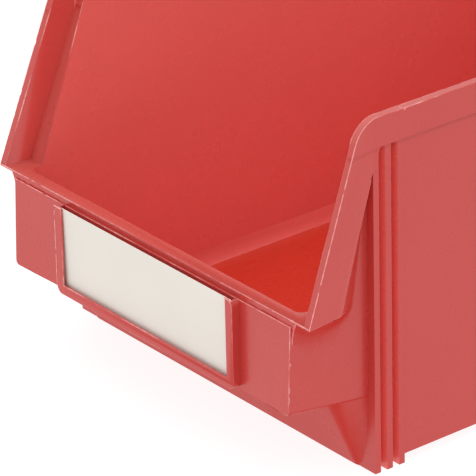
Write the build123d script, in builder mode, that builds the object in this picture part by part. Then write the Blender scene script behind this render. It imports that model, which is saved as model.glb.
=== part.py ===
from build123d import *
import os
from math import cos, radians, sin, tan

os.makedirs("parts", exist_ok=True)

# Stackable storage bin, injection moulded in one piece, with a card in its label holder.
# Frame: +Z up, Z = 0 on the standing surface, X across the bin, -Y towards the pick opening,
# origin under the middle of the overall length. All sizes in millimetres.

# Driving dimensions
LENGTH = 235.0  # face of the label holder to the back of the rim
HEIGHT = 120.0
RIM_WIDTH = 151.2  # over the rim of the straight side walls
EAR_WIDTH = 157.4  # over the flared corners of the front lip
WALL = 2.2
RIM_WALL = 2.4
FLOOR_TOP = 2.4

# Heights
LIP_Z = 60.3  # top of the front lip
LIP_FACE = 2.1  # height of the front face of the lip
NOSE_Z = 28.0  # underside of the overhanging front, at its front edge
NOSE_DROP = 3.0  # the underside falls by this much on its way back to the first rib
STEP_Z = 2.9  # underside of the side walls, above the base ring
RIM_BAND = 10.0  # height of the smooth band along the rim

# Front to back, measured back from the face of the label holder
FRONT = -LENGTH / 2
PANEL_FOOT_Y = FRONT + 1.9  # corners of the front panel at its bottom edge
PANEL_MID_Y = FRONT + 3.6  # the same edge at its middle, where the panel is hollow
PANEL_HEAD_Y = FRONT + 3.1  # straight top edge of the front panel
LIP_Y = FRONT + 3.6  # front of the lip
LIP_BACK_Y = FRONT + 8.4  # inner edge of the lip
NOSE_BACK_Y = FRONT + 17.3  # where the nose underside meets the sloped lower wall
BASE_Y = FRONT + 31.2  # front edge of the base
RIB_Y = FRONT + 31.6  # front face of the first rib
LOWER_END_Y = RIB_Y + 1.5  # the sloped lower front ends inside the first rib
BACK = LENGTH / 2
BASE_BACK_Y = BACK - 5.0

# Half widths
NOSE_HALF = 70.0
CHEEK_HALF = 72.2  # side face just in front of the ribs
LOWER_HEAD_HALF = 71.2  # sloped lower front at the nose underside
LOWER_FOOT_HALF = 66.5  # sloped lower front at the ground
LOWER_ROOT_HALF = 72.0  # the same side face at the ground, just behind the face of the first rib
RIB_HALF = 75.4
SIDE_HALF = 75.0  # side wall just behind the ribs
MAIN_HALF = 74.3  # side wall at the back
BASE_HALF = 70.6
RIM_HALF = RIM_WIDTH / 2
EAR_HALF = EAR_WIDTH / 2
BACK_INSET = 0.6  # back wall inside the rim band

# Rounding
NOSE_RADIUS = 1.6  # lower corners of the front panel
LOWER_RADIUS = 5.4  # upright corners of the sloped lower front
TOP_CORNER_RADIUS = 10.5  # where the sloped edge meets the rim
BACK_RADIUS = 14.0
BASE_RADIUS = 9.0  # rear corners of the base ring
LIP_CORNER_RADIUS = 2.6

# Pick opening: its sides lean back from the lip corners to the rim
SLOPE_ANGLE = 69.0
SLOPE_BAND = 11.7  # width of the band along the slope, measured along Y
SLOPE = 1 / tan(radians(SLOPE_ANGLE))  # travel along Y for each millimetre of height
SLOPE_TOP_Y = LIP_Y + (HEIGHT - LIP_Z) * SLOPE

# Ribs at the front of each side wall
RIB_THICKNESS = 2.2
RIB_PITCH = 4.8
RIB_COUNT = 3

# Label holder and card
HOLDER_X = 0.6  # the holder sits a little off centre
HOLDER_WIDTH = 90.4
HOLDER_FOOT_Z = 28.0
HOLDER_HEAD_Z = 58.6
HOLDER_DEPTH = 4.2
HOLDER_FLANGE = 0.8
HOLDER_RIM = 3.4
HOLDER_RADIUS = 2.4  # lower corners of the holder
SLOT_SIDE = 1.4  # web beside the slot
SLOT_FOOT = 1.7  # web below the slot
CARD_WIDTH = 87.0
CARD_HEIGHT = 28.2
CARD_THICKNESS = 0.4
CARD_FOOT_Z = 29.9
CARD_FOOT_GAP = 0.95  # between the foot of the card and the flanges
CARD_LEAN = 1.6  # degrees, top towards the front

SIDE = Plane.YZ  # side view: local x runs along Y, local y runs up
OVER = 5.0  # how far cutting shapes run past the body


def slope_y(z, back=0.0):
    """Y of the sloped side edge at height z, moved back along Y."""
    return LIP_Y + (z - LIP_Z) * SLOPE + back


def plan(points, back_radius):
    """Closed plan outline, symmetric about X = 0, from the points of its right half."""
    with BuildSketch() as outline:
        with BuildLine():
            Polyline((0, points[0][1]), *points, (0, points[-1][1]))
            mirror(about=Plane.YZ)
        make_face()
        fillet(outline.vertices().group_by(Axis.Y)[-1], back_radius)
    return outline.sketch


def front_plan(front_half, front_y, back_half, back_y, radius):
    """Plan outline of a block that widens backwards, with rounded front corners."""
    with BuildSketch() as outline:
        with BuildLine():
            Polyline(
                (-back_half, back_y),
                (-front_half, front_y),
                (front_half, front_y),
                (back_half, back_y),
                close=True,
            )
        make_face()
        fillet(outline.vertices().group_by(Axis.Y)[0], radius)
    return outline.sketch


def front_view(half, foot_z):
    """Front view of the nose and the opening sides, with rounded lower corners."""
    with BuildSketch() as outline:
        with Locations((0, foot_z)):
            Rectangle(2 * half, HEIGHT - foot_z, align=(Align.CENTER, Align.MIN))
        fillet(outline.vertices().group_by(Axis.Y)[0], NOSE_RADIUS)
    return outline.sketch


third_rib_y = RIB_Y + (RIB_COUNT - 1) * RIB_PITCH  # the last rib closes the front of the side wall

# Main shell: narrow nose and lower front, then the full-width box behind the ribs
shell_plan = [
    (CHEEK_HALF, RIB_Y),
    (CHEEK_HALF, third_rib_y),
    (SIDE_HALF, third_rib_y),
    (MAIN_HALF, BACK - BACK_INSET),
]
with BuildPart() as shell:
    with BuildSketch(Plane.XZ.offset(-PANEL_FOOT_Y)):
        add(front_view(NOSE_HALF, NOSE_Z))
    with BuildSketch(Plane.XZ.offset(-RIB_Y)):
        add(front_view(CHEEK_HALF, NOSE_Z - NOSE_DROP))
    loft(ruled=True)
    with BuildSketch(Plane.XY):
        add(front_plan(LOWER_FOOT_HALF, BASE_Y, LOWER_ROOT_HALF, LOWER_END_Y, LOWER_RADIUS))
    with BuildSketch(Plane.XY.offset(NOSE_Z + WALL)):
        add(front_plan(LOWER_HEAD_HALF, NOSE_BACK_Y, CHEEK_HALF, LOWER_END_Y, LOWER_RADIUS))
    loft(ruled=True)
    with BuildSketch():
        add(plan(shell_plan, BACK_RADIUS))
    extrude(amount=HEIGHT)
    with BuildSketch(SIDE) as shell_side:
        with BuildLine():
            Polyline(
                (FRONT, 0),
                (FRONT, LIP_Z - LIP_FACE),
                (LIP_Y, LIP_Z - LIP_FACE),
                (LIP_Y, LIP_Z),
                (SLOPE_TOP_Y, HEIGHT),
                (BACK, HEIGHT),
                (BACK, 0),
                close=True,
            )
        make_face()
        fillet(shell_side.vertices().group_by(Axis.Y)[-1].sort_by(Axis.X)[0], TOP_CORNER_RADIUS)
    extrude(amount=EAR_HALF, both=True, mode=Mode.INTERSECT)

# The front panel is slightly hollow at its foot and straight at its head
PANEL_MARGIN = 1.0  # the cut runs this far past the panel at its head
with BuildPart() as panel_cut:
    with BuildSketch(Plane.XY.offset(NOSE_Z)) as panel_foot:
        with BuildLine():
            ThreePointArc((-NOSE_HALF, PANEL_FOOT_Y), (0, PANEL_MID_Y), (NOSE_HALF, PANEL_FOOT_Y))
            Polyline(
                (NOSE_HALF, PANEL_FOOT_Y),
                (NOSE_HALF, FRONT - OVER),
                (-NOSE_HALF, FRONT - OVER),
                (-NOSE_HALF, PANEL_FOOT_Y),
            )
        make_face()
    with BuildSketch(Plane.XY.offset(LIP_Z - LIP_FACE)):
        with BuildLine():
            Polyline(
                (-NOSE_HALF - PANEL_MARGIN, PANEL_HEAD_Y),
                (NOSE_HALF + PANEL_MARGIN, PANEL_HEAD_Y),
                (NOSE_HALF + PANEL_MARGIN, FRONT - OVER),
                (-NOSE_HALF - PANEL_MARGIN, FRONT - OVER),
                close=True,
            )
        make_face()
    loft(ruled=True)
    extrude(panel_foot.sketch, amount=-OVER)

# Rim band: runs round the top and down both sloped edges, where it flares out into ears
EAR_EDGE = 0.7  # thickness of the ears at the front
band_plan = [
    (EAR_HALF, LIP_Y),
    (RIM_HALF, RIB_Y),
    (RIM_HALF, BACK),
]
band_inner_y = slope_y(HEIGHT - RIM_BAND, SLOPE_BAND)
band_foot_z = LIP_Z - EAR_EDGE
with BuildPart() as band:
    with BuildSketch():
        add(plan(band_plan, BACK_RADIUS + BACK_INSET))
    extrude(amount=HEIGHT)
    with BuildSketch(SIDE) as band_side:
        with BuildLine():
            Polyline(
                (LIP_Y, band_foot_z),
                (LIP_Y, LIP_Z),
                (SLOPE_TOP_Y, HEIGHT),
                (BACK, HEIGHT),
                (BACK, HEIGHT - RIM_BAND),
                (band_inner_y, HEIGHT - RIM_BAND),
                (slope_y(band_foot_z, SLOPE_BAND), band_foot_z),
                close=True,
            )
        make_face()
        fillet(band_side.vertices().group_by(Axis.Y)[-1].sort_by(Axis.X)[0], TOP_CORNER_RADIUS)
    extrude(amount=EAR_HALF, both=True, mode=Mode.INTERSECT)

# Ear gussets: the outside surface runs in a smooth S from the flared band to the cheek by the ribs
GUSSET_ROOT = 66.0  # half width buried inside the shell
GUSSET_RUN = 14.0  # length of the S behind the band at lip height
GUSSET_TIP_RUN = 1.0  # the same at the top, where the band meets the first rib
GUSSET_LEAD = 3.0  # the gusset starts this far forward, inside the band
GUSSET_OVERLAP = 0.1  # its tip runs this far into the first rib
EAR_SPREAD = 0.6  # sideways travel of the ear for each millimetre back from its front
SINK = 0.5  # how far the end of the S sinks into the cheek
EAR_FRONT_HALF = 72.2  # the ears thicken sideways from here
ear_taper = (EAR_HALF - RIM_HALF) / (RIB_Y - LIP_Y)
cheek_taper = (CHEEK_HALF - NOSE_HALF) / (RIB_Y - PANEL_FOOT_Y)
ear_start_y = slope_y(band_foot_z, SLOPE_BAND)
apex_z = LIP_Z + (RIB_Y - GUSSET_TIP_RUN - LIP_Y - SLOPE_BAND) / SLOPE


def band_half(y):
    """Half width over the flared band at y."""
    return EAR_HALF - (y - LIP_Y) * ear_taper


def upper_plan(start_y, end_half, run):
    """Plan outline of an upper gusset: an S from the back edge of the band to the cheek."""
    start = (band_half(start_y), start_y)
    end = (end_half, start_y + run)
    with BuildSketch() as outline:
        with BuildLine():
            Spline(start, end, tangents=((-ear_taper, 1), (cheek_taper, 1)))
            Polyline(end, (GUSSET_ROOT, end[1]), (GUSSET_ROOT, start_y - GUSSET_LEAD), start)
        make_face()
    return outline.sketch


def lower_plan(flare):
    """Plan outline of a lower gusset, from the cheek alone (flare 0) to the full ear (flare 1)."""
    cheek = NOSE_HALF + (ear_start_y - PANEL_FOOT_Y) * cheek_taper - SINK / 2
    inner_half = NOSE_HALF - SINK / 2
    front = (inner_half + flare * (EAR_FRONT_HALF - inner_half), LIP_Y)
    middle = (cheek + flare * (band_half(ear_start_y) - cheek), ear_start_y)
    end = (CHEEK_HALF - SINK, ear_start_y + GUSSET_RUN)
    forward = (cheek_taper + EAR_SPREAD * flare, 1)
    along = (cheek_taper - flare * (cheek_taper + ear_taper), 1)
    with BuildSketch() as outline:
        with BuildLine():
            Spline(front, middle, tangents=(forward, along))
            Spline(middle, end, tangents=(along, (cheek_taper, 1)))
            Polyline(end, (GUSSET_ROOT, end[1]), (GUSSET_ROOT, LIP_Y), front)
        make_face()
    return outline.sketch


with BuildPart() as upper_gusset:
    with BuildSketch(Plane.XY.offset(band_foot_z)):
        add(upper_plan(ear_start_y, CHEEK_HALF - SINK, GUSSET_RUN))
    with BuildSketch(Plane.XY.offset(apex_z)):
        add(upper_plan(RIB_Y - GUSSET_TIP_RUN, CHEEK_HALF, GUSSET_TIP_RUN + GUSSET_OVERLAP))
    loft(ruled=True)
    mirror(about=Plane.YZ)

# Below the lip the flare dies away down the cheek
FLARES = [(24.0, 0.0), (9.0, 0.12), (3.0, 0.5), (0.0, 1.0)]  # depth below the ear, share of the flare
with BuildPart() as lower_gusset:
    for depth, flare in FLARES:
        with BuildSketch(Plane.XY.offset(band_foot_z - depth)):
            add(lower_plan(flare))
    loft()
    mirror(about=Plane.YZ)

# Cavity of the main box, cheeks, nose and sloped lower front
FOOT_RUN = 3.4  # the walls slope in to the floor
FOOT_RISE = 4.4
LIP_DEPTH = 3.5  # thickness of the lip
LIP_COVE = 9.0  # the lip thins down to the panel over this height
LOWER_WALL_FOOT = 1.3  # thickness of the sloped lower front along Y, at its foot
LOWER_WALL_HEAD = 1.4  # the same at the nose underside
NOSE_WALL = PANEL_MID_Y + WALL
INNER_ROOT_Y = RIB_Y + 2.5
JOG_LENGTH = 15.0  # the inner wall eases out over this length behind the first rib
INNER_CHEEK_HALF = CHEEK_HALF - WALL
INNER_MAIN_HALF = MAIN_HALF - WALL
INNER_BACK = BACK - BACK_INSET - WALL
INNER_RADIUS = BACK_RADIUS - WALL
inner_nose_z = NOSE_Z + WALL
ridge_z = FLOOR_TOP + FOOT_RISE
foot_root_half = INNER_CHEEK_HALF - FOOT_RUN
ridge_root_half = foot_root_half + FOOT_RISE * FOOT_RUN / (inner_nose_z - FLOOR_TOP)
nose_plan = [
    (NOSE_HALF - WALL, FRONT - OVER),
    (INNER_CHEEK_HALF, INNER_ROOT_Y),
    (INNER_MAIN_HALF, INNER_ROOT_Y + JOG_LENGTH),
    (INNER_MAIN_HALF, INNER_BACK),
]


def box_plan(root_half, inset):
    """Plan outline of the main box behind the ribs; inset draws the side and back walls in."""
    points = [
        (root_half, INNER_ROOT_Y),
        (INNER_MAIN_HALF - inset, INNER_ROOT_Y + JOG_LENGTH),
        (INNER_MAIN_HALF - inset, INNER_BACK - inset),
    ]
    return plan(points, INNER_RADIUS - inset)


with BuildPart() as cavity:
    with BuildSketch(Plane.XY.offset(inner_nose_z)):
        add(plan(nose_plan, INNER_RADIUS))
    extrude(amount=HEIGHT)
    with BuildSketch(SIDE):
        with BuildLine():
            Polyline(
                (NOSE_WALL, inner_nose_z),
                (NOSE_WALL, LIP_Z - LIP_COVE),
                (LIP_BACK_Y, LIP_Z - LIP_DEPTH),
                (LIP_BACK_Y, LIP_Z),
                (FRONT - OVER, LIP_Z),
                (FRONT - OVER, HEIGHT + OVER),
                (BACK, HEIGHT + OVER),
                (BACK, inner_nose_z),
                close=True,
            )
        make_face()
    extrude(amount=EAR_HALF, both=True, mode=Mode.INTERSECT)
    with BuildSketch(Plane.XY.offset(FLOOR_TOP)):
        add(box_plan(foot_root_half, FOOT_RUN))
    with BuildSketch(Plane.XY.offset(ridge_z)):
        add(box_plan(ridge_root_half, 0))
    loft(ruled=True)
    with BuildSketch(Plane.XY.offset(ridge_z)):
        add(box_plan(ridge_root_half, 0))
    with BuildSketch(Plane.XY.offset(inner_nose_z)):
        add(box_plan(INNER_CHEEK_HALF, 0))
    loft(ruled=True)
    with BuildSketch(Plane.XY.offset(FLOOR_TOP)):
        add(
            front_plan(
                LOWER_FOOT_HALF - WALL,
                BASE_Y + LOWER_WALL_FOOT,
                foot_root_half,
                INNER_ROOT_Y,
                LOWER_RADIUS - WALL,
            )
        )
    with BuildSketch(Plane.XY.offset(inner_nose_z)):
        add(
            front_plan(
                LOWER_HEAD_HALF - WALL,
                NOSE_BACK_Y + LOWER_WALL_HEAD,
                INNER_CHEEK_HALF,
                INNER_ROOT_Y,
                LOWER_RADIUS - WALL,
            )
        )
    loft(ruled=True)

# Stacking ledge: above it the opening widens to the inside of the rim band
LEDGE_WALL = 2.1
ledge_z = HEIGHT - RIM_BAND + LEDGE_WALL
ledge_back = SLOPE_BAND - LEDGE_WALL
EAR_OPENING = 0.5  # the cut widens by this much ahead of the ears
rim_cavity_plan = [
    (EAR_HALF - RIM_WALL + EAR_OPENING, FRONT - OVER),
    (RIM_HALF - RIM_WALL, RIB_Y),
    (RIM_HALF - RIM_WALL, BACK - RIM_WALL),
]
with BuildPart() as rim_cavity:
    with BuildSketch():
        add(plan(rim_cavity_plan, BACK_RADIUS + BACK_INSET - RIM_WALL))
    extrude(amount=HEIGHT + OVER)
    with BuildSketch(SIDE):
        with BuildLine():
            Polyline(
                (FRONT - OVER, LIP_Z),
                (slope_y(LIP_Z, ledge_back), LIP_Z),
                (slope_y(ledge_z, ledge_back), ledge_z),
                (BACK, ledge_z),
                (BACK, HEIGHT + OVER),
                (FRONT - OVER, HEIGHT + OVER),
                close=True,
            )
        make_face()
    extrude(amount=EAR_HALF, both=True, mode=Mode.INTERSECT)

# Rounded inner corners of the lip
CORNER_SINK = 0.5  # how far the corner pieces reach into the lip and the cheek
lip_inner_half = NOSE_HALF - WALL + (LIP_BACK_Y - FRONT) * (CHEEK_HALF - NOSE_HALF) / (RIB_Y - FRONT)
with BuildPart() as lip_corners:
    with BuildSketch(Plane.XY.offset(LIP_Z - LIP_DEPTH)):
        with Locations((lip_inner_half + CORNER_SINK, LIP_BACK_Y - CORNER_SINK)):
            corner_size = LIP_CORNER_RADIUS + CORNER_SINK
            Rectangle(corner_size, corner_size, align=(Align.MAX, Align.MIN))
        with Locations((lip_inner_half - LIP_CORNER_RADIUS, LIP_BACK_Y + LIP_CORNER_RADIUS)):
            Circle(LIP_CORNER_RADIUS, mode=Mode.SUBTRACT)
        mirror(about=Plane.YZ)
    extrude(amount=LIP_DEPTH)

# Step under the walls: only the base ring and the rib feet reach the ground
base_plan = [
    (BASE_HALF, FRONT),
    (BASE_HALF, BASE_BACK_Y),
]
with BuildPart() as base_step:
    with BuildSketch():
        Rectangle(EAR_WIDTH + 2 * OVER, 2 * LENGTH)
        add(plan(base_plan, BASE_RADIUS), mode=Mode.SUBTRACT)
    extrude(amount=STEP_Z)

# Ribs with feet
with BuildPart() as ribs:
    with BuildSketch():
        for number in range(RIB_COUNT):
            with Locations((GUSSET_ROOT, RIB_Y + number * RIB_PITCH)):
                Rectangle(RIB_HALF - GUSSET_ROOT, RIB_THICKNESS, align=(Align.MIN, Align.MIN))
        mirror(about=Plane.YZ)
    extrude(amount=HEIGHT - RIM_BAND)

# Label holder: a slot behind flanges, open at the top
with BuildPart() as holder:
    with BuildSketch(Plane.XZ.offset(-FRONT)) as holder_face:
        with Locations((HOLDER_X, HOLDER_FOOT_Z)):
            Rectangle(HOLDER_WIDTH, HOLDER_HEAD_Z - HOLDER_FOOT_Z, align=(Align.CENTER, Align.MIN))
        fillet(holder_face.vertices().group_by(Axis.Z)[0], HOLDER_RADIUS)
    extrude(amount=-HOLDER_DEPTH)
    with BuildSketch(Plane.XZ.offset(-FRONT - HOLDER_FLANGE)):
        with Locations((HOLDER_X, HOLDER_FOOT_Z + SLOT_FOOT)):
            Rectangle(HOLDER_WIDTH - 2 * SLOT_SIDE, HOLDER_HEAD_Z, align=(Align.CENTER, Align.MIN))
    extrude(amount=-HOLDER_DEPTH, mode=Mode.SUBTRACT)
    with BuildSketch(Plane.XZ.offset(-FRONT)):
        with Locations((HOLDER_X, HOLDER_FOOT_Z + HOLDER_RIM)):
            Rectangle(HOLDER_WIDTH - 2 * HOLDER_RIM, HOLDER_HEAD_Z, align=(Align.CENTER, Align.MIN))
    extrude(amount=-HOLDER_DEPTH, mode=Mode.SUBTRACT)

with BuildPart() as bin_body:
    add(shell.part)
    add(panel_cut.part, mode=Mode.SUBTRACT)
    add(base_step.part, mode=Mode.SUBTRACT)
    add(band.part)
    add(upper_gusset.part)
    add(lower_gusset.part)
    add(ribs.part)
    add(holder.part)
    add(cavity.part, mode=Mode.SUBTRACT)
    add(rim_cavity.part, mode=Mode.SUBTRACT)
    add(lip_corners.part)

bin_body.part.label = "bin_body"
export_step(bin_body.part, "parts/bin_body.step")

# Card in the holder, standing on the foot of the slot and leaning on the flanges
card_plane = Plane(
    origin=(HOLDER_X, FRONT + HOLDER_FLANGE + CARD_FOOT_GAP, CARD_FOOT_Z),
    x_dir=(1, 0, 0),
    z_dir=(0, -cos(radians(CARD_LEAN)), -sin(radians(CARD_LEAN))),
)
with BuildPart() as label_card:
    with BuildSketch(card_plane):
        Rectangle(CARD_WIDTH, CARD_HEIGHT, align=(Align.CENTER, Align.MIN))
    extrude(amount=-CARD_THICKNESS)

label_card.part.label = "label_card"
export_step(label_card.part, "parts/label_card.step")
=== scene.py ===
import math
import random

import bmesh
import bpy
from mathutils import Matrix, Vector


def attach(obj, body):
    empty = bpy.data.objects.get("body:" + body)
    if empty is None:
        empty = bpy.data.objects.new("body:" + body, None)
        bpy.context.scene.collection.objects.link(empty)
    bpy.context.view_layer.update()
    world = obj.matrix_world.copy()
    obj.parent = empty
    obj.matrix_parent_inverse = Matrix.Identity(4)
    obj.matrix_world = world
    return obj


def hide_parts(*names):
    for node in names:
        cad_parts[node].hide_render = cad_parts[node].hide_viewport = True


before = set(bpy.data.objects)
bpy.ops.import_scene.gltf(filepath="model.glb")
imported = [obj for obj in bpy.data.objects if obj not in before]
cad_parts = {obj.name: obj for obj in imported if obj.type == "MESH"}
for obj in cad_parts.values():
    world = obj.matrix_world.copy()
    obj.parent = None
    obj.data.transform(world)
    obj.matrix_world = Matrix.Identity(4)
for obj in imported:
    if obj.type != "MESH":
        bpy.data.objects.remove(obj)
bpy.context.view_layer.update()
random.seed(7)

# Lengths are in millimetres and turned into metres with MM, except where a comment says metres
MM = 0.001
SHARP = math.radians(28)  # edges that turn by more than this stay sharp or catch the light


# ---------------------------------------------------------------- camera
CAMERA_PLACE = (0.98533, -0.84742, 0.65385)  # metres
CAMERA_LENS = 332.43
AZIMUTH, ELEVATION, ROLL = 52.036, 25.751, -1.346  # degrees


def aim(azimuth, elevation, roll):
    """Camera rotation for a view from the right front, in degrees."""
    a, e, r = (math.radians(v) for v in (azimuth, elevation, roll))
    right = Vector((math.cos(a), math.sin(a), 0))
    ahead = Vector((-math.sin(a) * math.cos(e), math.cos(a) * math.cos(e), -math.sin(e)))
    up = right.cross(ahead)
    x = right * math.cos(r) + up * math.sin(r)
    y = up * math.cos(r) - right * math.sin(r)
    return Matrix((x, y, -ahead)).transposed()


camera = bpy.data.cameras.new("camera")
camera.lens = CAMERA_LENS
camera.sensor_width = 36
camera.clip_end = 20
camera_object = bpy.data.objects.new("camera", camera)
camera_object.matrix_world = aim(AZIMUTH, ELEVATION, ROLL).to_4x4()
camera_object.location = CAMERA_PLACE
bpy.context.scene.collection.objects.link(camera_object)
bpy.context.scene.camera = camera_object


# ---------------------------------------------------------------- materials
COLOUR_A, COLOUR_B, COLOUR_OUT = 6, 7, 2  # colour sockets of the Mix node
PAINTED_SHADOW_RED = (0.43, 0.02, 0.016)
PLASTIC_IOR = 1.52


class Graph:
    """Short calls for building a node material."""

    def __init__(self, name):
        self.material = bpy.data.materials.new(name)
        self.material.use_nodes = True
        self.tree = self.material.node_tree
        self.shader = self.tree.nodes["Principled BSDF"]

    def node(self, kind, **settings):
        """New shader node with some of its properties set."""
        made = self.tree.nodes.new("ShaderNode" + kind)
        for key, value in settings.items():
            setattr(made, key, value)
        return made

    def link(self, source, target):
        self.tree.links.new(source, target)

    def noise(self, scale, detail=4.0, rough=0.55, stretch=(1, 1, 1)):
        """Noise in the piece's own coordinates, scale in cells per metre."""
        place = self.node("TexCoord")
        mapping = self.node("Mapping")
        mapping.inputs["Scale"].default_value = stretch
        texture = self.node("TexNoise")
        texture.inputs["Scale"].default_value = scale
        texture.inputs["Detail"].default_value = detail
        texture.inputs["Roughness"].default_value = rough
        self.link(place.outputs["Object"], mapping.inputs["Vector"])
        self.link(mapping.outputs["Vector"], texture.inputs["Vector"])
        return texture.outputs["Fac"]

    def span(self, value, low, high, to_low, to_high):
        """Clamped map of a value from low..high to to_low..to_high."""
        made = self.node("MapRange")
        made.inputs["From Min"].default_value = low
        made.inputs["From Max"].default_value = high
        made.inputs["To Min"].default_value = to_low
        made.inputs["To Max"].default_value = to_high
        self.link(value, made.inputs["Value"])
        return made.outputs["Result"]

    def mix(self, factor, first, second):
        """Blend of two colours, each a tuple or an output."""
        made = self.node("Mix", data_type="RGBA")
        self.link(factor, made.inputs["Factor"])
        for socket, colour in ((COLOUR_A, first), (COLOUR_B, second)):
            if isinstance(colour, tuple):
                made.inputs[socket].default_value = (*colour, 1)
            else:
                self.link(colour, made.inputs[socket])
        return made.outputs[COLOUR_OUT]

    def times(self, first, second):
        """Product of two outputs."""
        made = self.node("Math", operation="MULTIPLY")
        self.link(first, made.inputs[0])
        self.link(second, made.inputs[1])
        return made.outputs[0]

    def upward(self):
        """1 where the surface looks up, -1 where it looks down."""
        split = self.node("SeparateXYZ")
        self.link(self.node("NewGeometry").outputs["Normal"], split.inputs[0])
        return split.outputs["Z"]

    def height(self):
        """Height above the standing surface, in metres."""
        place = self.node("TexCoord")
        split = self.node("SeparateXYZ")
        self.link(place.outputs["Object"], split.inputs[0])
        return split.outputs["Z"]

    def bump(self, heights):
        """Chains (height output, strength, distance) into the shader's normal."""
        last = None
        for height, strength, distance in heights:
            made = self.node("Bump")
            made.inputs["Strength"].default_value = strength
            made.inputs["Distance"].default_value = distance
            self.link(height, made.inputs["Height"])
            if last:
                self.link(last, made.inputs["Normal"])
            last = made.outputs["Normal"]
        self.link(last, self.shader.inputs["Normal"])


def red_plastic(name, light, dark, wear_and_highlight=None, above=None, below=None, painted_shadow_at=None):
    """Semi-matte moulded polypropylene with flow marks and fine grain.

    The pale colour is for rubbed patches, partly wear and partly a painted highlight; the colours
    for surfaces that look up and down are a painted sheen and a painted shade; a given height gets
    a painted shadow line just under it.
    """
    g = Graph(name)
    flow = g.noise(9, detail=3, stretch=(1, 1, 0.5))
    clouds = g.noise(38, detail=3)
    grain = g.noise(2600, detail=2)
    scuffs = g.noise(70, detail=4)
    body = g.mix(g.span(flow, 0.3, 0.7, 0, 1), light, dark)
    pale = tuple(min(1, c * 1.06 + 0.003) for c in light)
    body = g.mix(g.span(clouds, 0.42, 0.75, 0, 0.3), body, pale)
    facing = g.upward()
    # Painted sheen: surfaces that look up are made lighter and pinker
    if above:
        body = g.mix(g.span(facing, 0.1, 0.5, 0, 1), body, above)
    # Painted shade: surfaces that look down are made darker, and they reflect less
    if below:
        body = g.mix(g.span(facing, -0.45, -0.05, 1, 0), body, below)
        g.link(g.span(facing, -0.35, -0.02, 0.08, 0.5), g.shader.inputs["Specular IOR Level"])
    # Pale rubbed patches, partly wear and partly a painted highlight
    if wear_and_highlight:
        fine = g.span(g.noise(420, detail=5, rough=0.75), 0.36, 0.60, 0.1, 1)
        patches = g.span(g.noise(55, detail=3), 0.44, 0.62, 0.05, 0.8)
        body = g.mix(g.times(fine, patches), body, wear_and_highlight)
    # Painted shadow line just under the given height, where the rim band overhangs the wall
    if painted_shadow_at:
        height = g.height()
        upper = g.span(height, painted_shadow_at - 0.3 * MM, painted_shadow_at + 0.1 * MM, 1, 0)
        lower = g.span(height, painted_shadow_at - 1.6 * MM, painted_shadow_at - 0.4 * MM, 0, 0.6)
        body = g.mix(g.times(upper, lower), body, PAINTED_SHADOW_RED)
    g.link(body, g.shader.inputs["Base Color"])
    g.link(g.span(scuffs, 0.3, 0.75, 0.25, 0.31), g.shader.inputs["Roughness"])
    g.shader.inputs["IOR"].default_value = PLASTIC_IOR
    g.bump([(clouds, 0.04, 0.0006), (grain, 0.10, 0.00004)])
    return g.material


def label_paper():
    """Uncoated card, warm white, with paper fibre."""
    g = Graph("label_paper")
    fibre = g.noise(900, detail=6, rough=0.7, stretch=(1, 1, 2.2))
    cloud = g.noise(30, detail=3)
    tone = g.mix(g.span(cloud, 0.3, 0.7, 0, 1), (0.82, 0.77, 0.705), (0.795, 0.745, 0.68))
    tone = g.mix(g.span(fibre, 0.55, 0.8, 0, 0.35), tone, (0.72, 0.69, 0.64))
    g.link(tone, g.shader.inputs["Base Color"])
    g.link(g.span(fibre, 0.3, 0.7, 0.78, 0.92), g.shader.inputs["Roughness"])
    g.shader.inputs["Specular IOR Level"].default_value = 0.25
    g.bump([(fibre, 0.15, 0.00005)])
    return g.material


def floor_paper():
    """Pale backdrop lit evenly from below, like a light table."""
    g = Graph("floor_paper")
    cloud = g.noise(3, detail=2)
    tone = g.mix(g.span(cloud, 0.3, 0.7, 0, 1), (0.21, 0.21, 0.21), (0.19, 0.19, 0.19))
    g.link(tone, g.shader.inputs["Base Color"])
    g.shader.inputs["Roughness"].default_value = 0.9
    g.shader.inputs["Specular IOR Level"].default_value = 0.1
    g.shader.inputs["Emission Color"].default_value = (1, 1, 1, 1)
    g.shader.inputs["Emission Strength"].default_value = 0.89
    g.bump([(cloud, 0.02, 0.0005)])
    return g.material


# One red plastic in lit and shaded copies, as painted light: the inside walls lighter, the floor
# more saturated, the ears' inner faces paler, the rounded edges a painted highlight; the outside
# has painted sheen on top, painted shade below and a painted shadow line under the rim band
RIM_BAND_FOOT = 110  # lower edge of the smooth band along the rim
OUTSIDE, EDGE_HIGHLIGHT, INSIDE, FLOOR, EAR = range(5)
TOP_PAINTED_SHEEN = (0.590, 0.085, 0.070)
UNDER_PAINTED_SHADE = (0.530, 0.028, 0.020)
LIT_AND_SHADED_REDS = [
    red_plastic(
        "red_plastic",
        (0.560, 0.046, 0.038),
        (0.540, 0.042, 0.034),
        above=TOP_PAINTED_SHEEN,
        below=UNDER_PAINTED_SHADE,
        painted_shadow_at=RIM_BAND_FOOT * MM,
    ),
    # Painted highlight on the rounded edges: lighter than the outside, with pale rubbed patches
    # that are partly wear and partly painted highlight
    red_plastic("red_edge_painted_highlight", (0.60, 0.060, 0.055), (0.57, 0.050, 0.045), wear_and_highlight=(0.95, 0.46, 0.44)),
    # Lit and shaded copies as painted light: inside walls lighter, floor more saturated, ears'
    # inner faces paler than the outside
    red_plastic("red_inside_painted_light", (0.845, 0.155, 0.138), (0.825, 0.145, 0.128)),
    red_plastic("red_floor_painted_light", (0.690, 0.052, 0.026), (0.665, 0.044, 0.021)),
    red_plastic("red_ear_painted_light", (0.650, 0.072, 0.062), (0.635, 0.066, 0.056)),
]
# The flash threads are real; their pale colour is partly whitened flash and partly a painted
# highlight
FLASH_PAINTED_HIGHLIGHT = red_plastic("red_flash_painted_highlight", (0.88, 0.38, 0.36), (0.82, 0.27, 0.26))
PAPER = label_paper()


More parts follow.
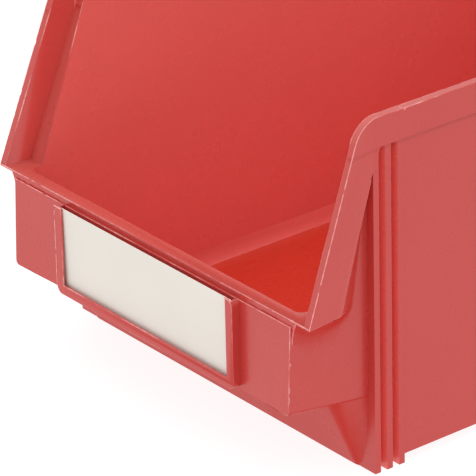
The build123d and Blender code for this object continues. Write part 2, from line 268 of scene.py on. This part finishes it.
# ---------------------------------------------------------------- pieces
def add_mesh(name, mesh, *materials):
    """New object for a mesh, with the materials as its slots in order."""
    made = bpy.data.objects.new(name, mesh)
    bpy.context.scene.collection.objects.link(made)
    for material in materials:
        mesh.materials.append(material)
    return made


# Where the lit and shaded copies of the plastic and the rounded edges are. Front to back is Y,
# sideways is |X|, up is Z.
FLAT = 0.9  # upward part of the normal of a level face
FLOOR_TOP = 10  # level faces below this are the floor of the box
GROOVE_FRONT, GROOVE_BACK = -85.8, -76.2  # the grooves between the ribs
GROOVE_INNER, GROOVE_OUTER = 70, 75
EAR_BACK = -80
EAR_INNER = 72.6
EAR_INWARD = 60  # the ears' inner faces: the normal's x times the place's x is below minus this
LIP_TOP = 62  # faces above this that look forward are the edges of the opening
FORWARD = -0.8
NOSE_INSIDE = -109.6  # the inside starts behind this
MIDDLE = (0, 0, RIM_BAND_FOOT)  # inside faces look towards this point,
INWARD = 0.2  # with at least this cosine
LEDGE_LOW, LEDGE_HIGH = 109.5, 112.6
NOSE_FLOOR_LOW, NOSE_FLOOR_HIGH = 29.5, 31
RIBS_FRONT, RIBS_BACK, RIBS_TOP = -86, -73.9, 110.5
UNDERSIDE = 3.2  # edges below this are out of sight


def lit_or_shaded_red_of(face):
    """Which lit or shaded copy of the plastic one CAD face gets, from where it lies and which way
    it looks.
    """
    middle, normal = face.calc_center_median() / MM, face.normal
    aside = abs(middle.x)
    if normal.z > FLAT:
        return FLOOR if middle.z < FLOOR_TOP else OUTSIDE
    if GROOVE_FRONT < middle.y < GROOVE_BACK and GROOVE_INNER < aside < GROOVE_OUTER:
        return INSIDE
    if normal.y < FORWARD and middle.z > LIP_TOP:
        return OUTSIDE
    if aside > EAR_INNER and middle.y < EAR_BACK and normal.x * middle.x < -EAR_INWARD:
        return EAR
    towards = (Vector(MIDDLE) - middle).normalized()
    if normal.dot(towards) > INWARD and middle.y > NOSE_INSIDE:
        return INSIDE
    return OUTSIDE


def catches_light(edge):
    """True for the raised edges that the mould leaves rounded; these also get the painted edge
    highlight.
    """
    if not edge.is_convex or edge.calc_face_angle(0) < SHARP:
        return False
    heights = [v.co.z / MM for v in edge.verts]
    depths = [v.co.y / MM for v in edge.verts]
    low, high = min(heights), max(heights)
    on_ledge = low > LEDGE_LOW and high < LEDGE_HIGH
    on_nose_floor = low > NOSE_FLOOR_LOW and high < NOSE_FLOOR_HIGH
    on_rib = min(depths) > RIBS_FRONT and max(depths) < RIBS_BACK and high < RIBS_TOP
    return not (on_ledge or on_nose_floor or on_rib) and high > UNDERSIDE


WELD = 2e-6  # metres
LEVEL = math.radians(0.05)  # faces that turn by less than this are one face
EDGE_ROUND = 0.24


def rounded_bin():
    """The moulding with its raised edges rounded as the mould leaves them.

    The bevel is not clamped: thin faces beside a raised edge would hold it back everywhere.
    """
    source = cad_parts["bin_body"]
    mesh = bpy.data.meshes.new("bin_moulding")
    bm = bmesh.new()
    bm.from_mesh(source.data)
    bmesh.ops.remove_doubles(bm, verts=bm.verts, dist=WELD)
    bmesh.ops.dissolve_limit(bm, angle_limit=LEVEL, verts=bm.verts, edges=bm.edges)
    bm.normal_update()
    weight = bm.edges.layers.float.new("bevel_weight_edge")
    for edge in bm.edges:
        if catches_light(edge):
            edge[weight] = 1
        else:
            edge.smooth = edge.calc_face_angle(0) < SHARP
    for face in bm.faces:
        face.smooth = True
        face.material_index = lit_or_shaded_red_of(face)
    bm.to_mesh(mesh)
    bm.free()
    piece = add_mesh("bin_moulding", mesh, *LIT_AND_SHADED_REDS)
    bevel = piece.modifiers.new("edges", "BEVEL")
    bevel.width = EDGE_ROUND * MM
    bevel.use_clamp_overlap = False
    bevel.segments = 3
    bevel.limit_method = "WEIGHT"
    # the rounded faces get the painted edge highlight
    bevel.material = EDGE_HIGHLIGHT
    weigh = piece.modifiers.new("normals", "WEIGHTED_NORMAL")
    weigh.mode = "FACE_AREA_WITH_ANGLE"
    weigh.weight = 60
    weigh.keep_sharp = True
    return piece


moulding = rounded_bin()
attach(moulding, "bin")
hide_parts("bin_body")


# ---------------------------------------------------------------- mould flash
FRONT = -117.5  # face of the label holder
LIP_Y = FRONT + 3.6
LIP_Z = 60.3
PANEL_Y = FRONT + 3.1  # head of the front panel
PANEL_Z = 58.2
PANEL_SIDE = 70.1
RIM_Z = 120
RIM_END_Y = 100
CORNER_RADIUS = 10.5  # where the slope meets the rim
CORNER_Y = -83.8
CORNER_STEPS = 7
SLOPE_TURN = math.radians(69)
FLARE_Y = -85.9  # the ears flare out in front of this
RIM_INNER = (73.2, 0.098)  # half width, and its growth per millimetre of ear
RIM_OUTER = (75.6, 0.111)
HOLDER_TOP = 58.6
HOLDER_LEFT, HOLDER_RIGHT = -44.6, 42.4  # outer corners of the label holder
HOLDER_RIM = 3.4
FLASH_STEP = 0.8  # length of one piece of thread
THREAD_SIDES = 6
THREAD_UNEVEN = (0.55, 1.15)  # least and greatest share of the radius


def thread(bm, centres, radius, side, other):
    """One closed thread through the given centres, uneven in thickness."""
    rings = []
    for centre in centres:
        size = radius * random.uniform(*THREAD_UNEVEN)
        ring = []
        for corner in range(THREAD_SIDES):
            angle = corner * 2 * math.pi / THREAD_SIDES
            offset = side * math.cos(angle) + other * math.sin(angle)
            ring.append(bm.verts.new((centre + offset * size) * MM))
        rings.append(ring)
    for first, second in zip(rings, rings[1:]):
        for corner in range(THREAD_SIDES):
            after = (corner + 1) % THREAD_SIDES
            bm.faces.new((first[corner], first[after], second[after], second[corner]))
    bm.faces.new(tuple(reversed(rings[0])))
    bm.faces.new(rings[-1])


def bead(bm, start, end, radius, coverage):
    """Ragged threads of flash between two points, with gaps where coverage fails."""
    start, end = Vector(start), Vector(end)
    side = (end - start).orthogonal().normalized()
    other = (end - start).cross(side).normalized()
    steps = max(2, int((end - start).length / FLASH_STEP))
    run = []
    for step in range(steps + 1):
        if random.random() <= coverage:
            run.append(start + (end - start) * step / steps)
            if step < steps:
                continue
        if len(run) > 1:
            thread(bm, run, radius, side, other)
        run = []


def edge_run(half, taper):
    """Points along a rim edge, from the top of the slope round the corner to the back."""
    points = []
    for step in range(CORNER_STEPS + 1):
        turn = SLOPE_TURN * (1 - step / CORNER_STEPS)
        y = CORNER_Y - CORNER_RADIUS * math.sin(turn)
        widen = max(0, FLARE_Y - y) * taper
        points.append((half + widen, y, RIM_Z - CORNER_RADIUS * (1 - math.cos(turn))))
    return points + [(half, RIM_END_Y, RIM_Z)]


rim_inner = edge_run(*RIM_INNER)
rim_outer = edge_run(*RIM_OUTER)[:-1]

# Runs of flash on the right side, mirrored to the left: points, thread radius, coverage
SIDE_FLASH = [
    ([(36, LIP_Y, LIP_Z), (71, LIP_Y, LIP_Z)], 0.15, 0.96),
    ([(70, LIP_Y, LIP_Z), (78.4, LIP_Y, LIP_Z)], 0.24, 1),
    ([(70.2, FRONT + 3, 46), (70.2, FRONT + 2.3, 33)], 0.15, 0.6),
    ([(PANEL_SIDE, PANEL_Y, 57), (PANEL_SIDE, PANEL_Y, 54)], 0.2, 0.7),
    ([(46, PANEL_Y, PANEL_Z), (70, PANEL_Y, PANEL_Z)], 0.15, 0.9),
    (rim_inner, 0.13, 0.99),
    ([(78.6, LIP_Y, LIP_Z - 0.4), rim_outer[0]], 0.16, 0.95),
    (rim_outer, 0.13, 1),
    ([(74.2, -74.8, RIM_Z), (75.7, -73.4, RIM_Z - 0.5)], 0.36, 1),
]
# Runs on the label holder, each one straight
HOLDER_FLASH = [
    (HOLDER_LEFT, HOLDER_TOP, HOLDER_LEFT + HOLDER_RIM, HOLDER_TOP, 0.24, 1),
    (HOLDER_RIGHT, HOLDER_TOP, HOLDER_RIGHT + HOLDER_RIM, HOLDER_TOP, 0.24, 1),
    (HOLDER_LEFT, HOLDER_TOP - 0.2, HOLDER_LEFT, 31, 0.17, 0.9),
]


def mould_flash():
    """Flash left along the parting line, on the lip, the panel edges and the rim."""
    bm = bmesh.new()
    for side in (1, -1):
        for points, radius, coverage in SIDE_FLASH:
            placed = [(side * x, y, z) for x, y, z in points]
            for first, second in zip(placed, placed[1:]):
                bead(bm, first, second, radius, coverage)
    for x, z, end_x, end_z, radius, coverage in HOLDER_FLASH:
        bead(bm, (x, FRONT, z), (end_x, FRONT, end_z), radius, coverage)
    mesh = bpy.data.meshes.new("mould_flash")
    bmesh.ops.recalc_face_normals(bm, faces=bm.faces)
    bm.to_mesh(mesh)
    bm.free()
    return add_mesh("mould_flash", mesh, FLASH_PAINTED_HIGHLIGHT)


flash = mould_flash()
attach(flash, "bin")


# ---------------------------------------------------------------- label card
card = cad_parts["label_card"]
card.data.materials.clear()
card.data.materials.append(PAPER)

# ---------------------------------------------------------------- stage and light
FLOOR_DROP = 0.2  # keeps the floor clear of the underside of the bin
FLOOR_SIZE = 4  # metres, as are the sizes and places of the lights
HORIZON, ZENITH = 0.50, 1.25  # strength of the dome
ZENITH_HEIGHT = 0.8  # the dome is at full strength above this share of the way up


def pale_floor():
    """Plain floor just under the bin."""
    mesh = bpy.data.meshes.new("floor")
    bm = bmesh.new()
    bmesh.ops.create_grid(bm, x_segments=4, y_segments=4, size=FLOOR_SIZE)
    bm.to_mesh(mesh)
    bm.free()
    floor = add_mesh("floor", mesh, floor_paper())
    floor.location.z = -FLOOR_DROP * MM
    return floor


def studio_dome():
    """White surroundings, brighter overhead than at the horizon."""
    world = bpy.data.worlds.new("studio")
    world.use_nodes = True
    nodes, links = world.node_tree.nodes, world.node_tree.links
    place = nodes.new("ShaderNodeTexCoord")
    split = nodes.new("ShaderNodeSeparateXYZ")
    dome = nodes.new("ShaderNodeMapRange")
    dome.inputs["From Min"].default_value = 0.0
    dome.inputs["From Max"].default_value = ZENITH_HEIGHT
    dome.inputs["To Min"].default_value = HORIZON
    dome.inputs["To Max"].default_value = ZENITH
    background = nodes["Background"]
    background.inputs["Color"].default_value = (1, 1, 1, 1)
    links.new(place.outputs["Generated"], split.inputs[0])
    links.new(split.outputs["Z"], dome.inputs["Value"])
    links.new(dome.outputs["Result"], background.inputs["Strength"])
    return world


def soft_box(name, place, target, size, power):
    """Square area light at a place, turned towards a target."""
    light = bpy.data.lights.new(name, "AREA")
    light.shape = "SQUARE"
    light.size = size
    light.energy = power
    made = bpy.data.objects.new(name, light)
    made.location = place
    made.rotation_euler = (Vector(target) - Vector(place)).to_track_quat("-Z", "Y").to_euler()
    bpy.context.scene.collection.objects.link(made)


pale_floor()
bpy.context.scene.world = studio_dome()
bpy.context.scene.view_settings.view_transform = "Standard"
soft_box("key", (1.6, -1.2, 1.6), (0, 0, 0.05), 1.8, 2)
soft_box("top", (-0.3, -0.2, 2.2), (0, 0, 0), 2.4, 3)
